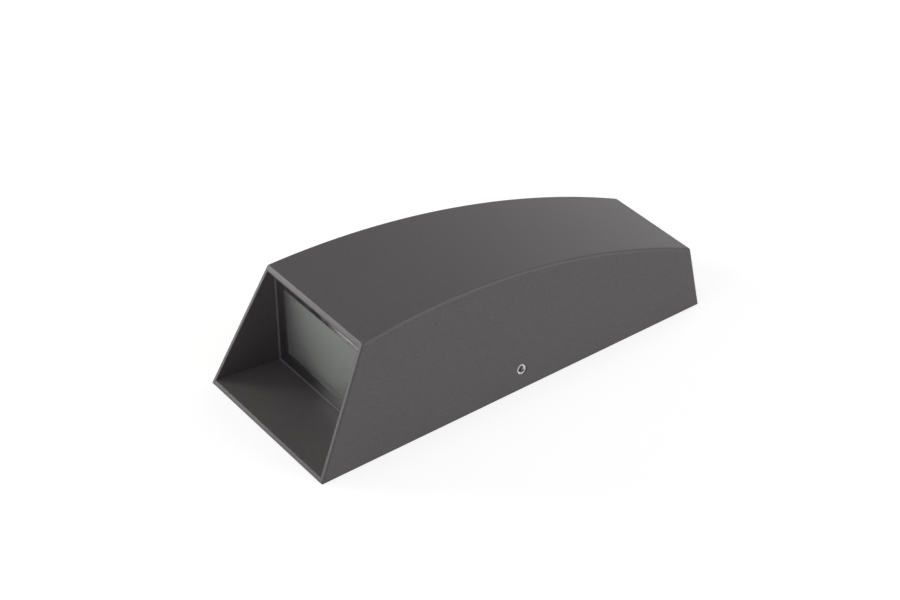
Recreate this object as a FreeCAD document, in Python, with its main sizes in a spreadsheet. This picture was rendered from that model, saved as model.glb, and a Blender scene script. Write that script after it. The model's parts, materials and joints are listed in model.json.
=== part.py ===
"""Outdoor wall light, lying on its back: an arched, tapered die-cast housing with a slanted
mouth and a frosted window set back in it, held over a steel wall bracket by two grub screws.

Frame: +X runs along the length from the open mouth to the narrow closed end, +Z points away
from the wall, and the origin is the middle of the mounting face. Lengths are millimetres.
"""
import FreeCAD, Part
import math
import os
import re

import Sketcher

# Driving sizes, lengths in millimetres and angles in degrees.
SIZES = {
    # Die-cast housing: outer form
    "body_length": 250.0,
    "near_width": 119.0,
    "far_width": 77.6,
    "mouth_depth": 64.8,
    "far_depth": 33.7,
    "mouth_setback": 36.5,
    "far_setback": 1.5,
    "arch_radius": 405.0,
    "side_draft": 6.0,
    "edge_radius": 1.6,
    "mouth_radius": 0.8,
    # Die-cast housing: walls, window seat and posts
    "wall": 2.6,
    "back_wall": 2.0,
    "end_wall": 2.6,
    "seat_thickness": 3.0,
    "seat_step": 1.0,
    "post_radius": 3.6,
    "post_draft": 1.0,
    "post_floor": 1.2,
    # Fits between pieces
    "thread_fit": 0.05,
    "hole_fit": 0.25,
    "side_fit": 0.2,
    "head_gap": 0.5,
    # How far cutting shapes run past what they cut
    "stock_margin": 10.0,
    # Window frame, glass, its gasket and the frame's seal
    "frame_inset": 39.1,
    "frame_lip": 0.8,
    "frame_border": 8.3,
    "frame_brow": 0.9,
    "frame_shank": 1.25,
    "frame_head": 2.2,
    "frame_head_height": 1.6,
    "frame_screw_rise": 16.0,
    "frame_screw_drop": 17.0,
    "frame_tip_gap": 0.4,
    "glass_thickness": 4.0,
    "glass_cover": 2.5,
    "gasket_leg": 1.0,
    "gasket_edge": 0.8,
    "gasket_grip": 2.3,
    "seal_leg": 0.7,
    "seal_edge": 0.2,
    "seal_fit": 0.05,
    # Reflector, light board and the plate that cools it
    "chamber_depth": 27.1,
    "reflector_wall": 1.2,
    "throat_edge": 11.0,
    "throat_height": 24.0,
    "board_height": 30.0,
    "board_thickness": 1.6,
    "board_screw_edge": 4.0,
    "emitter_size": 3.0,
    "emitter_height": 0.7,
    "emitter_edge": 6.0,
    "emitter_rows": 2,
    "emitter_columns": 6,
    "plate_thickness": 3.0,
    "plate_bottom": 16.0,
    "plate_drop": 5.0,
    "plate_side_gap": 2.4,
    "plate_foot": 26.0,
    "plate_screw_edge": 9.0,
    "plate_screw_y": 22.0,
    "plate_fold": 1.0,
    "lead_hole_radius": 5.0,
    # Driver of the light board
    "foot_gap": 2.4,
    "wiring_room": 12.0,
    "driver_drop": 6.8,
    "driver_width": 38.0,
    "driver_height": 20.0,
    "driver_corner": 3.0,
    "driver_wall": 1.8,
    "driver_lid": 1.6,
    "driver_lip": 1.0,
    "ear_length": 9.0,
    "ear_width": 12.0,
    "ear_thickness": 2.5,
    # Terminal block
    "terminal_end_gap": 17.9,
    "terminal_drop": 14.3,
    "terminal_rim": 1.0,
    "terminal_width": 17.0,
    "terminal_height": 14.0,
    "terminal_pitch": 10.0,
    "poles": 3,
    "terminal_edge": 1.0,
    "entry_radius": 1.8,
    "entry_depth": 5.0,
    "clamp_inset": 4.2,
    "clamp_shank": 1.4,
    "clamp_head": 1.9,
    "clamp_head_height": 1.6,
    "clamp_well": 2.0,
    "clamp_gap": 0.5,
    # Leads
    "lead_radius": 1.1,
    "lead_pitch": 8.0,
    "lead_pair": 4.4,
    "lead_start": 6.0,
    "lead_entry": 1.2,
    "lead_sag": 7.0,
    # Earth point on the housing
    "earth_run": 28.0,
    "earth_side_gap": 3.1,
    "earth_drop": 16.6,
    "tag_thickness": 0.8,
    "tag_radius": 4.0,
    "tag_tongue": 3.0,
    "tag_barrel": 5.0,
    "tag_barrel_wall": 0.6,
    "washer_thickness": 0.8,
    "washer_radius": 4.4,
    # Wall bracket and the mat under it
    "mat_thickness": 2.0,
    "mat_gap": 0.4,
    "steel": 1.5,
    "strip_width": 34.0,
    "strip_near_gap": 15.1,
    "strip_far_gap": 16.9,
    "strip_corner": 5.0,
    "wing_length": 24.0,
    "tab_top": 19.0,
    "tab_gap": 0.6,
    "tab_hole_fit": 0.3,
    "fold_radius": 1.0,
    "tab_corner": 3.0,
    "slot_radius": 2.3,
    "slot_length": 10.0,
    "slot_near_edge": 14.0,
    "slot_far_edge": 20.0,
    "earth_to_slot": 18.0,
    "cable_to_earth": 30.0,
    # Cable grommet
    "cable_radius": 4.5,
    "grommet_wall": 3.5,
    "grommet_flange": 2.6,
    "grommet_lip": 1.4,
    "grommet_nose": 5.0,
    "grommet_nose_wall": 1.6,
    "mat_hole_gap": 1.0,
    # Grub screws and their bosses
    "grub_x": 4.4,
    "grub_z": 10.6,
    "grub_radius": 3.0,
    "grub_length": 6.0,
    "grub_recess": 0.5,
    "grub_chamfer": 0.2,
    "grub_socket_flats": 3.0,
    "grub_socket_depth": 3.0,
    "grub_cup_radius": 1.5,
    "grub_cup_depth": 0.8,
    "boss_wall": 2.4,
    "boss_step": 0.3,
    # Small screws: shank, head and cross slot
    "small_shank": 1.5,
    "small_head": 2.75,
    "small_head_height": 2.0,
    "small_slot_width": 0.8,
    "small_slot_depth": 1.1,
    "earth_shank": 2.0,
    "earth_head": 3.8,
    "earth_head_height": 2.6,
    "frame_screw_length": 7.0,
    "board_screw_length": 4.0,
    "plate_screw_length": 7.0,
    "driver_screw_length": 6.0,
    "terminal_screw_length": 20.0,
    "earth_screw_length": 8.0,
    "bracket_screw_gap": 0.5,
}


def half_width(x, z, inset):
    """Half the width across the leaning side faces, moved inwards by inset."""
    return (
        f"(near_width / 2 - ({x} + half_length) * plan_slope - ({z}) * side_lean"
        f" - ({inset}) * inset_shift)"
    )


def front_height(x, inset):
    """Height of the arched front face, moved inwards by inset."""
    return f"(arch_centre_z + sqrt((arch_radius - ({inset})) ^ 2 - (({x}) - arch_centre_x) ^ 2))"


# Sizes worked out from the driving ones.
DERIVED = {
    "half_length": "body_length / 2",
    "plan_slope": "(near_width - far_width) / 2 / body_length",
    "plan_angle": "atan(plan_slope)",
    "inset_shift": "1 / (cos(side_draft) * cos(plan_angle))",
    "side_lean": "tan(side_draft) / cos(plan_angle)",
    "mouth_top_x": "mouth_setback - half_length",
    "far_top_x": "half_length - far_setback",
    "chord_run": "far_top_x - mouth_top_x",
    "chord_fall": "mouth_depth - far_depth",
    "chord_length": "sqrt(chord_run ^ 2 + chord_fall ^ 2)",
    "centre_drop": "sqrt(arch_radius ^ 2 - chord_length ^ 2 / 4)",
    "arch_centre_x": "(mouth_top_x + far_top_x) / 2 - centre_drop * chord_fall / chord_length",
    "arch_centre_z": "(mouth_depth + far_depth) / 2 - centre_drop * chord_run / chord_length",
    "stock_height": "arch_centre_z + arch_radius + wall",
    "frame_x": "frame_inset - half_length",
    "seat_x": "frame_x + frame_lip + glass_thickness + gasket_leg",
    "seat_back_x": "seat_x + seat_thickness",
    "seat_width": "frame_border - seat_step",
    "frame_screw_inset": "wall + frame_head + head_gap",
    "frame_screw_low": "back_wall + frame_screw_rise",
    "frame_screw_high": f"{front_height('seat_x', 'wall')} - frame_screw_drop",
    "far_inner_x": "far_top_x - end_wall",
    "light_height": f"(back_wall + {front_height('seat_x', 'wall')}) / 2",
    "board_x": "seat_back_x + chamber_depth",
    "plate_x": "board_x + board_thickness",
    "plate_back_x": "plate_x + plate_thickness",
    "plate_top": f"{front_height('plate_x', 'wall')} - plate_drop",
    "plate_width": f"2 * ({half_width('plate_x', 'plate_top', 'wall')} - plate_side_gap)",
    "plate_post_x": "plate_x + plate_foot - plate_screw_edge",
    "board_width": "plate_width",
    "throat_width": "board_width - 2 * throat_edge",
    "emitter_pitch": "(throat_width - 2 * emitter_edge) / (emitter_columns - 1)",
    "terminal_x": "far_inner_x - terminal_end_gap - terminal_width / 2",
    "terminal_face_x": "terminal_x - terminal_width / 2",
    "terminal_length": "poles * terminal_pitch + 2 * terminal_rim",
    "terminal_top": f"{front_height('terminal_x', 'wall')} - terminal_drop",
    "terminal_bottom": "terminal_top - terminal_height",
    "terminal_middle": "terminal_top - terminal_height / 2",
    "clamp_screw_length": "terminal_height / 2 - clamp_well - lead_radius - clamp_gap",
    "driver_start": "plate_x + plate_foot + foot_gap + ear_length",
    "driver_end": "terminal_face_x - wiring_room - ear_length",
    "driver_length": "driver_end - driver_start",
    "ear_near_x": "driver_start - ear_length / 2",
    "ear_far_x": "driver_end + ear_length / 2",
    "driver_top": f"{front_height('ear_far_x', 'wall')} - driver_drop",
    "driver_bottom": "driver_top - driver_height",
    "driver_middle": "driver_top - driver_height / 2",
    "earth_x": "terminal_face_x - earth_run",
    "earth_y": "-(driver_width / 2 + earth_side_gap + washer_radius)",
    "earth_top": f"{front_height('earth_x', 'wall')} - earth_drop",
    "grub_boss_radius": "grub_radius + boss_wall",
    "grub_boss_depth": "grub_recess + grub_length - boss_step",
    "tab_inset": "grub_boss_depth + tab_gap",
    "tab_hole_radius": "grub_radius + tab_hole_fit",
    "steel_top": "mat_thickness + steel",
    "strip_start": "seat_back_x + strip_near_gap",
    "strip_end": "far_inner_x - strip_far_gap",
    "slot_first_x": "strip_start + slot_near_edge",
    "slot_last_x": "strip_end - slot_far_edge",
    "bracket_earth_x": "slot_last_x - earth_to_slot",
    "cable_x": "bracket_earth_x - cable_to_earth",
    "grommet_radius": "cable_radius + grommet_wall",
    "bracket_screw_length": "washer_thickness + steel_top - bracket_screw_gap",
}

ALIASES = {*SIZES, *DERIVED}

# A screw's bevelled tip as a share of its shank's radius, and the flat top and the cross slot's
# reach as shares of its head's radius.
SCREW_TIP_SHARE = 0.25
HEAD_CROWN_SHARE = 0.8
CROSS_ARM_SHARE = 0.6

# How much of a lead's shorter straight run each of its bends may use.
BEND_SHARE = 0.45

doc = FreeCAD.newDocument("wall_light")
sheet = doc.addObject("Spreadsheet::Sheet", "Sizes")
for row, (alias, content) in enumerate({**SIZES, **DERIVED}.items(), start=1):
    sheet.set(f"A{row}", alias)
    sheet.set(f"B{row}", f"={content}" if alias in DERIVED else str(content))
    sheet.setAlias(f"B{row}", alias)
doc.recompute()


def named(text):
    """The expression with each size's name pointing at its cell."""
    return re.sub(r"[a-z_]+", lambda word: f"Sizes.{word[0]}" if word[0] in ALIASES else word[0], text)


def value(text):
    """The number that an expression of sizes gives."""
    return float(sheet.evalExpression(named(text)))


def bind(item, **paths):
    """Ties properties of an object to expressions of sizes."""
    for path, text in paths.items():
        item.setExpression(path, named(text))
    return item


def place(x="0", y="0", z="0", turn="rotationz(0)"):
    """The text of a placement."""
    return f"placement(vector({x}; {y}; {z}); {turn})"


def make(kind, label, placement=None, **paths):
    """A document object with its label, its sizes and its placement."""
    item = doc.addObject(kind, label)
    item.Label = label
    bind(item, **paths)
    if placement:
        item.setExpression("Placement", named(placement))
    return item


def body_sketch(body, role, name, offset="0"):
    """A sketch on one of the body's origin planes, moved along that plane's normal."""
    sketch = body.newObject("Sketcher::SketchObject", f"{body.Name}_{name}")
    plane = next(item for item in body.Origin.OriginFeatures if item.Role == role)
    sketch.AttachmentSupport = [(plane, "")]
    sketch.MapMode = "FlatFace"
    sketch.setExpression("AttachmentOffset.Base.z", named(offset))
    return sketch


def tie_point(sketch, element, position, x, y):
    """Holds a point of a sketch at expressions of sizes; None leaves that way free."""
    for kind, text in (("DistanceX", x), ("DistanceY", y)):
        if text is not None:
            index = sketch.addConstraint(Sketcher.Constraint(kind, -1, 1, element, position, value(text)))
            sketch.setExpression(f"Constraints[{index}]", named(text))


def tie_radius(sketch, element, radius):
    index = sketch.addConstraint(Sketcher.Constraint("Radius", element, value(radius)))
    sketch.setExpression(f"Constraints[{index}]", named(radius))


def outline(sketch, corners, arcs=None):
    """A closed outline; arcs gives a side's centre and radius, counter-clockwise."""
    arcs = arcs or {}
    first = sketch.GeometryCount
    points = [FreeCAD.Vector(value(x), value(y), 0) for x, y in corners]
    for side, start in enumerate(points):
        end = points[(side + 1) % len(points)]
        if side in arcs:
            centre = FreeCAD.Vector(value(arcs[side][0]), value(arcs[side][1]), 0)
            circle = Part.Circle(centre, FreeCAD.Vector(0, 0, 1), value(arcs[side][2]))
            sketch.addGeometry(Part.ArcOfCircle(circle, circle.parameter(start), circle.parameter(end)))
        else:
            sketch.addGeometry(Part.LineSegment(start, end))
    for side in range(len(points)):
        following = (side + 1) % len(points)
        sketch.addConstraint(Sketcher.Constraint("Coincident", first + side, 2, first + following, 1))
    for side, (x, y) in enumerate(corners):
        beside_arc = side in arcs or (side - 1) % len(points) in arcs
        tie_point(sketch, first + side, 1, x, None if beside_arc else y)
    for side, (x, y, radius) in arcs.items():
        tie_point(sketch, first + side, 3, x, y)
        tie_radius(sketch, first + side, radius)


def circle(sketch, x, y, radius):
    element = sketch.addGeometry(
        Part.Circle(FreeCAD.Vector(value(x), value(y), 0), FreeCAD.Vector(0, 0, 1), value(radius))
    )
    tie_point(sketch, element, 3, x, y)
    tie_radius(sketch, element, radius)


def rectangle(x_from, x_to, y_from, y_to):
    """The corners of a rectangle, counter-clockwise."""
    return [(x_from, y_from), (x_to, y_from), (x_to, y_to), (x_from, y_to)]


def slot(sketch, x, y, length, radius):
    """A slot along the sketch's first axis."""
    left = f"({x} - ({length}) / 2 + {radius})"
    right = f"({x} + ({length}) / 2 - {radius})"
    low = f"({y} - {radius})"
    high = f"({y} + {radius})"
    first = sketch.GeometryCount
    up = FreeCAD.Vector(0, 0, 1)
    ends = [FreeCAD.Vector(value(end), value(y), 0) for end in (left, right)]
    sketch.addGeometry(Part.LineSegment(
        FreeCAD.Vector(value(left), value(low), 0), FreeCAD.Vector(value(right), value(low), 0)))
    sketch.addGeometry(Part.ArcOfCircle(Part.Circle(ends[1], up, value(radius)), -math.pi / 2, math.pi / 2))
    sketch.addGeometry(Part.LineSegment(
        FreeCAD.Vector(value(right), value(high), 0), FreeCAD.Vector(value(left), value(high), 0)))
    sketch.addGeometry(
        Part.ArcOfCircle(Part.Circle(ends[0], up, value(radius)), math.pi / 2, 3 * math.pi / 2))
    for side in range(4):
        sketch.addConstraint(
            Sketcher.Constraint("Coincident", first + side, 2, first + (side + 1) % 4, 1))
    for arc, x_centre in ((first + 1, right), (first + 3, left)):
        tie_point(sketch, arc, 3, x_centre, y)
        tie_radius(sketch, arc, radius)
        tie_point(sketch, arc, 1, x_centre, None)
        tie_point(sketch, arc, 2, x_centre, None)


def pad(body, sketch, length, **paths):
    feature = body.newObject("PartDesign::Pad", f"{body.Name}_pad")
    feature.Profile = sketch
    bind(feature, Length=length, **paths)
    body.Tip = feature
    return feature


def pocket(body, sketch, length=None, symmetric=False, reverse=False):
    """Cuts a sketch out of the body, right through unless a length is given."""
    feature = body.newObject("PartDesign::Pocket", f"{body.Name}_pocket")
    feature.Profile = sketch
    feature.Reversed = reverse
    if symmetric:
        feature.SideType = "Symmetric"
    if length is None:
        feature.Type = "ThroughAll"
    else:
        bind(feature, Length=length)
    body.Tip = feature
    return feature


def round_edges(body, radius, chosen):
    """Fillets the edges of the body's last feature that a test picks."""
    doc.recompute()
    base = body.Tip
    names = [f"Edge{n}" for n, edge in enumerate(base.Shape.Edges, start=1) if chosen(edge)]
    feature = body.newObject("PartDesign::Fillet", f"{body.Name}_fillet")
    feature.Base = (base, names)
    bind(feature, Radius=radius)
    body.Tip = feature
    return feature


def join(label, pieces):
    item = make("Part::MultiFuse", label)
    item.Shapes = pieces
    return item


def cut(label, base, tool):
    item = make("Part::Cut", label)
    item.Base = base
    item.Tool = tool
    return item


def group(label, pieces):
    """Separate solids under one name."""
    item = make("Part::Compound", label)
    item.Links = pieces
    return item


def copies(label, pattern, places):
    """One piece repeated at several places, under one name."""
    links = []
    for number, placement in enumerate(places, start=1):
        link = doc.addObject("App::Link", f"{label}_{number}")
        link.LinkedObject = pattern
        link.setExpression("Placement", named(placement))
        links.append(link)
    return group(label, links)


def wall_block(label, inset, floor, start, end, start_top=None, end_top=None, top=None,
               front_inset=None):
    """A length of the housing's form, set in from its faces: leaning sides, arched or flat top."""
    front_inset = front_inset or inset
    body = make("PartDesign::Body", label)
    plan = body_sketch(body, "XY_Plane", "plan")
    near, far = "-half_length - stock_margin", "half_length + stock_margin"
    near_half, far_half = half_width(near, "0", inset), half_width(far, "0", inset)
    outline(plan, [(near, f"-{near_half}"), (far, f"-{far_half}"), (far, far_half), (near, near_half)])
    pad(body, plan, "stock_height", TaperAngle="-side_draft")
    side = body_sketch(body, "XZ_Plane", "side")
    start_top, end_top = start_top or start, end_top or end
    outline(side, rectangle("-half_length - 2 * stock_margin", "half_length + 2 * stock_margin",
                            "-stock_margin", "stock_height + stock_margin"))
    if top is None:
        arch = {2: ("arch_centre_x", "arch_centre_z", f"arch_radius - ({front_inset})")}
        high_end, high_start = front_height(end_top, front_inset), front_height(start_top, front_inset)
    else:
        arch, high_end, high_start = {}, top, top
    outline(side, [(start, floor), (end, floor), (end_top, high_end), (start_top, high_start)], arch)
    pocket(body, side, symmetric=True)
    return body


def form_section(body, name, x, inset):
    """A slice across the housing's form at x, moved inwards by inset."""
    sketch = body_sketch(body, "YZ_Plane", name, x)
    low, high = f"back_wall - wall + {inset}", front_height(x, inset)
    low_half, high_half = half_width(x, low, inset), half_width(x, high, inset)
    outline(sketch, [(f"-{low_half}", low), (low_half, low), (high_half, high), (f"-{high_half}", high)])
    return sketch


def lofted_ring(body, outer, inner):
    """A ring between two lofts, each given by the sketches at its two ends."""
    kinds = ("PartDesign::AdditiveLoft", "PartDesign::SubtractiveLoft")
    for kind, (start, end) in zip(kinds, (outer, inner)):
        loft = body.newObject(kind, f"{body.Name}_{kind[12:]}")
        loft.Profile = start
        loft.Sections = [end]
        body.Tip = loft
    return body


def drilling(label, radius, length, placement):
    """A round tool, for a hole or a post, with its axis along its own Z."""
    return make("Part::Cylinder", label, placement, Radius=radius, Height=length)


def grub_place(side, depth):
    """A place on a grub screw's axis: side is -1 or 1, depth is measured in from the outer face."""
    y = f"{side} * {half_width('grub_x', 'grub_z', '0')}"
    turn = f"rotationz({-side} * plan_angle) * rotationx({side} * (90 + side_draft))"
    return f"{place('grub_x', y, 'grub_z', turn)} * {place(z=depth)}"


def screw(label, shank, length, head, head_height, slot_width="small_slot_width",
          slot_depth="small_slot_depth"):
    """A pan-head screw: the head's underside at zero, the shank along +Z, a cross slot."""
    body = make("PartDesign::Body", label)
    profile = body_sketch(body, "XZ_Plane", "profile")
    tip = f"{shank} * {SCREW_TIP_SHARE}"
    crown = f"{head} * {HEAD_CROWN_SHARE}"
    outline(profile, [
        ("0", f"-{head_height}"), (crown, f"-{head_height}"), (head, f"-{head_height} / 2"), (head, "0"),
        (shank, "0"), (shank, f"{length} - {tip}"), (f"{shank} - {tip}", length), ("0", length),
    ])
    turned = body.newObject("PartDesign::Revolution", f"{body.Name}_turned")
    turned.Profile = profile
    turned.ReferenceAxis = (profile, ["V_Axis"])
    turned.Angle = 360
    body.Tip = turned
    cross = body_sketch(body, "XY_Plane", "cross", f"-{head_height}")
    arm = f"{head} * {CROSS_ARM_SHARE}"
    half = f"{slot_width} / 2"
    outline(cross, [
        (arm, f"-{half}"), (arm, half), (half, half), (half, arm), (f"-{half}", arm), (f"-{half}", half),
        (f"-{arm}", half), (f"-{arm}", f"-{half}"), (f"-{half}", f"-{half}"), (f"-{half}", f"-{arm}"),
        (half, f"-{arm}"), (half, f"-{half}"),
    ])
    pocket(body, cross, slot_depth, reverse=True)
    return body


nodes = []


def keep(item):
    """Marks an object as one of the light's pieces."""
    nodes.append(item)
    return item


def front_post(label, x, y, tip):
    """A drafted post that hangs from inside of the arched front, its tip at height tip."""
    height = f"(stock_height - ({tip}))"
    return make("Part::Cone", label, place(x, y, tip), Radius1="post_radius",
                Radius2=f"post_radius + {height} * tan(post_draft)", Height=height)


def front_pilot(label, x, y, tip, shank):
    """A blind hole in a post, which leaves the post's floor of metal under the front face."""
    depth = f"({front_height(f'{x} + {shank}', 'post_floor')} - ({tip}))"
    return drilling(label, f"{shank} + thread_fit", depth, place(x, y, tip))


# Screw places on the posts: name, x, y, tip height and shank radius.
POSTS = [
    ("plate_left", "plate_post_x", "plate_screw_y", "plate_top", "small_shank"),
    ("plate_right", "plate_post_x", "-plate_screw_y", "plate_top", "small_shank"),
    ("driver_near", "ear_near_x", "0", "driver_top", "small_shank"),
    ("driver_far", "ear_far_x", "0", "driver_top", "small_shank"),
    ("terminal", "terminal_x", "terminal_pitch / 2", "terminal_top", "small_shank"),
    ("earth", "earth_x", "earth_y", "earth_top", "earth_shank"),
]

# The four screws that hold the window frame, in the frame's solid side rims outside the glass.
frame_screw_places = [
    (f"{side} * {half_width('seat_x', level, 'frame_screw_inset')}", level)
    for level in ("frame_screw_low", "frame_screw_high") for side in (-1, 1)
]


def build_housing():
    """Outer form less its cores, with posts, grub bosses and every hole."""
    form = wall_block("housing_form", "0", "0", "-half_length", "half_length", "mouth_top_x", "far_top_x")
    round_edges(form, "edge_radius", lambda edge: (
        edge.BoundBox.ZMin > value("far_depth / 2") and edge.BoundBox.XLength > value("half_length")
    ) or (
        edge.BoundBox.XMin > value("far_top_x - wall") and edge.BoundBox.ZMax > value("far_depth / 2")
        and edge.BoundBox.XLength < value("body_length / 10")
    ))
    round_edges(form, "mouth_radius", lambda edge: (
        edge.BoundBox.XMax < value("mouth_top_x + edge_radius") and edge.BoundBox.ZMax > value("far_depth / 2")
    ))
    visor = wall_block("visor_core", "wall", "back_wall", "-half_length - wall", "seat_x")
    opening = wall_block("window_core", "wall + seat_width", "back_wall + seat_width",
                         "seat_x - seat_thickness", "seat_back_x + seat_thickness")
    gear = wall_block("gear_core", "wall", "-wall", "seat_back_x", "far_inner_x")
    cores = join("cores", [visor, opening, gear])
    shell = cut("housing_shell", form, cores)
    posts = make("Part::Common", "posts")
    stock = [front_post(f"{name}_post", x, y, tip) for name, x, y, tip, shank in POSTS]
    posts.Base = join("post_stock", stock)
    posts.Tool = form
    bosses = [
        drilling(f"grub_boss_{number}", "grub_boss_radius", "grub_boss_depth - wall / 2",
                 grub_place(side, "wall / 2"))
        for number, side in enumerate((-1, 1), start=1)
    ]
    solid = join("housing_solid", [shell, posts] + bosses)
    holes = [front_pilot(f"{name}_pilot", x, y, tip, shank) for name, x, y, tip, shank in POSTS]
    for number, (y, z) in enumerate(frame_screw_places, start=1):
        seat_hole = place("seat_x - seat_thickness", y, z, "rotationy(90)")
        holes.append(drilling(f"seat_hole_{number}", "frame_shank + hole_fit", "3 * seat_thickness",
                              seat_hole))
    for number, side in enumerate((-1, 1), start=1):
        holes.append(drilling(f"grub_hole_{number}", "grub_radius + thread_fit",
                              "grub_boss_depth + 2 * wall", grub_place(side, "-wall")))
    keep(cut("housing", solid, group("housing_holes", holes)))


def build_window():
    """Frame, glass behind its lip, gasket behind the glass, screws, and the seal round the frame."""
    rim = wall_block("frame_rim", "wall + side_fit", "back_wall + side_fit", "frame_x", "seat_x")
    window = wall_block("frame_window", "wall + frame_border", "back_wall + frame_border",
                        "frame_x - frame_lip", "seat_x + frame_lip",
                        front_inset="wall + frame_border + frame_brow")
    glass_start, glass_end = "frame_x + frame_lip", "seat_x - gasket_leg"
    glass_set = "frame_border - glass_cover"
    rebate_set = f"{glass_set} - gasket_edge"
    rebate = wall_block("frame_rebate", f"wall + {rebate_set} - side_fit / 2",
                        f"back_wall + {rebate_set} - side_fit / 2", glass_start, "seat_x + frame_lip")
    pilots = [
        drilling(f"frame_pilot_{number}", "frame_shank + thread_fit",
                 "frame_screw_length - seat_thickness + frame_tip_gap",
                 place("seat_x", y, z, "rotationy(-90)"))
        for number, (y, z) in enumerate(frame_screw_places, start=1)
    ]
    keep(cut("glass_frame", rim, group("frame_openings", [window, rebate] + pilots)))
    glass = keep(wall_block("window_glass", f"wall + {glass_set}", f"back_wall + {glass_set}",
                            glass_start, glass_end))
    channel = wall_block("gasket_form", f"wall + {rebate_set}", f"back_wall + {rebate_set}",
                         glass_start, "seat_x")
    grip = f"{glass_set} + gasket_grip"
    throat = wall_block("gasket_window", f"wall + {grip}", f"back_wall + {grip}",
                        "frame_x", "seat_back_x")
    keep(cut("glass_gasket", channel, group("gasket_cores", [throat, glass])))
    pattern = screw("frame_screw", "frame_shank", "frame_screw_length", "frame_head", "frame_head_height")
    keep(copies("frame_screws", pattern, [place("seat_back_x", y, z, "rotationy(-90)")
                                          for y, z in frame_screw_places]))
    seal = keep(make("PartDesign::Body", "frame_seal"))
    front, rear = "frame_x - seal_leg", "frame_x"
    outer = [form_section(seal, f"outer_{name}", x, "wall + seal_fit")
             for name, x in (("front", front), ("rear", rear))]
    inner = [form_section(seal, f"inner_{name}", x, f"wall + seal_fit + {leg}")
             for name, x, leg in (("front", front, "seal_edge"), ("rear", rear, "seal_leg"))]
    lofted_ring(seal, outer, inner)


def build_light_source():
    """Reflector, light board with its emitters, and the bent plate that carries and cools them."""
    funnel = make("PartDesign::Body", "reflector_funnel")
    sections = []
    for name, grow in (("outer", "reflector_wall"), ("inner", "0")):
        mouth = form_section(funnel, f"{name}_mouth", "seat_back_x", f"wall + seat_width - {grow}")
        throat = body_sketch(funnel, "YZ_Plane", f"{name}_throat", "board_x")
        across, up = f"(throat_width / 2 + {grow})", f"(throat_height / 2 + {grow})"
        outline(throat, rectangle(f"-{across}", across, f"light_height - {up}", f"light_height + {up}"))
        sections.append((mouth, throat))
    lofted_ring(funnel, *sections)
    collar_set = "frame_screw_inset + frame_head + head_gap"
    collar = wall_block("reflector_collar", collar_set, f"back_wall - wall + {collar_set}",
                        "seat_back_x", "seat_back_x + reflector_wall")
    collar_hole = wall_block("reflector_collar_hole", "wall + seat_width - reflector_wall / 2",
                             "back_wall + seat_width - reflector_wall / 2",
                             "seat_back_x - reflector_wall", "seat_back_x + 2 * reflector_wall")
    keep(join("reflector", [cut("reflector_ring", collar, collar_hole), funnel]))

    screw_y = "(board_width / 2 - board_screw_edge)"
    board = keep(make("PartDesign::Body", "light_board"))
    face = body_sketch(board, "YZ_Plane", "face", "board_x")
    outline(face, rectangle("-board_width / 2", "board_width / 2", "light_height - board_height / 2",
                            "light_height + board_height / 2"))
    for side in (-1, 1):
        circle(face, f"{side} * {screw_y}", "light_height", "small_shank + hole_fit")
    pad(board, face, "board_thickness")
    emitter = make("Part::Box", "emitter", Length="emitter_height", Width="emitter_size",
                   Height="emitter_size")
    places = []
    for row in range(SIZES["emitter_rows"]):
        for column in range(SIZES["emitter_columns"]):
            y = f"({column} - (emitter_columns - 1) / 2) * emitter_pitch - emitter_size / 2"
            z = f"light_height + ({row} - (emitter_rows - 1) / 2) * emitter_pitch - emitter_size / 2"
            places.append(place("board_x - emitter_height", y, z))
    keep(copies("light_emitters", emitter, places))
    pattern = screw("board_screw", "small_shank", "board_screw_length", "small_head", "small_head_height")
    keep(copies("board_screws", pattern,
                [place("board_x", f"{side} * {screw_y}", "light_height", "rotationy(90)")
                 for side in (-1, 1)]))

    plate = make("PartDesign::Body", "plate_bend")
    profile = body_sketch(plate, "XZ_Plane", "profile")
    outline(profile, [
        ("plate_x", "plate_bottom"), ("plate_back_x", "plate_bottom"),
        ("plate_back_x", "plate_top - plate_thickness"),
        ("plate_x + plate_foot", "plate_top - plate_thickness"), ("plate_x + plate_foot", "plate_top"),
        ("plate_x", "plate_top"),
    ])
    pad(plate, profile, "plate_width").SideType = "Symmetric"

    def lies_at(edge, x, z):
        near_enough = value("plate_fold / 2")
        box = edge.BoundBox
        across = box.YLength > value("plate_width / 2")
        return across and abs(box.XMin - value(x)) < near_enough and abs(box.ZMin - value(z)) < near_enough

    round_edges(plate, "plate_fold",
                lambda edge: lies_at(edge, "plate_back_x", "plate_top - plate_thickness"))
    round_edges(plate, "plate_fold + plate_thickness", lambda edge: lies_at(edge, "plate_x", "plate_top"))
    holes = [
        drilling(f"plate_hole_{number}", "small_shank + hole_fit", "3 * plate_thickness",
                 place("plate_post_x", f"{side} * plate_screw_y", "plate_top - 2 * plate_thickness"))
        for number, side in enumerate((-1, 1), start=1)
    ]
    for number, side in enumerate((-1, 1), start=1):
        holes.append(drilling(f"board_pilot_{number}", "small_shank + thread_fit", "2 * plate_thickness",
                              place("board_x", f"{side} * {screw_y}", "light_height", "rotationy(90)")))
    holes.append(drilling("lead_hole", "lead_hole_radius", "3 * plate_thickness",
                          place("board_x", "0", "light_height", "rotationy(90)")))
    keep(cut("heat_plate", plate, group("plate_holes", holes)))
    pattern = screw("plate_screw", "small_shank", "plate_screw_length", "small_head", "small_head_height")
    keep(copies("heat_plate_screws", pattern,
                [place("plate_post_x", f"{side} * plate_screw_y", "plate_top - plate_thickness")
                 for side in (-1, 1)]))


def lead_exit(side, end):
    """Where a lead leaves the driver: side is -1 or 1, end is the x of the case's end wall."""
    return (end, f"{side} * lead_pitch / 2", "driver_middle")


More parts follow.
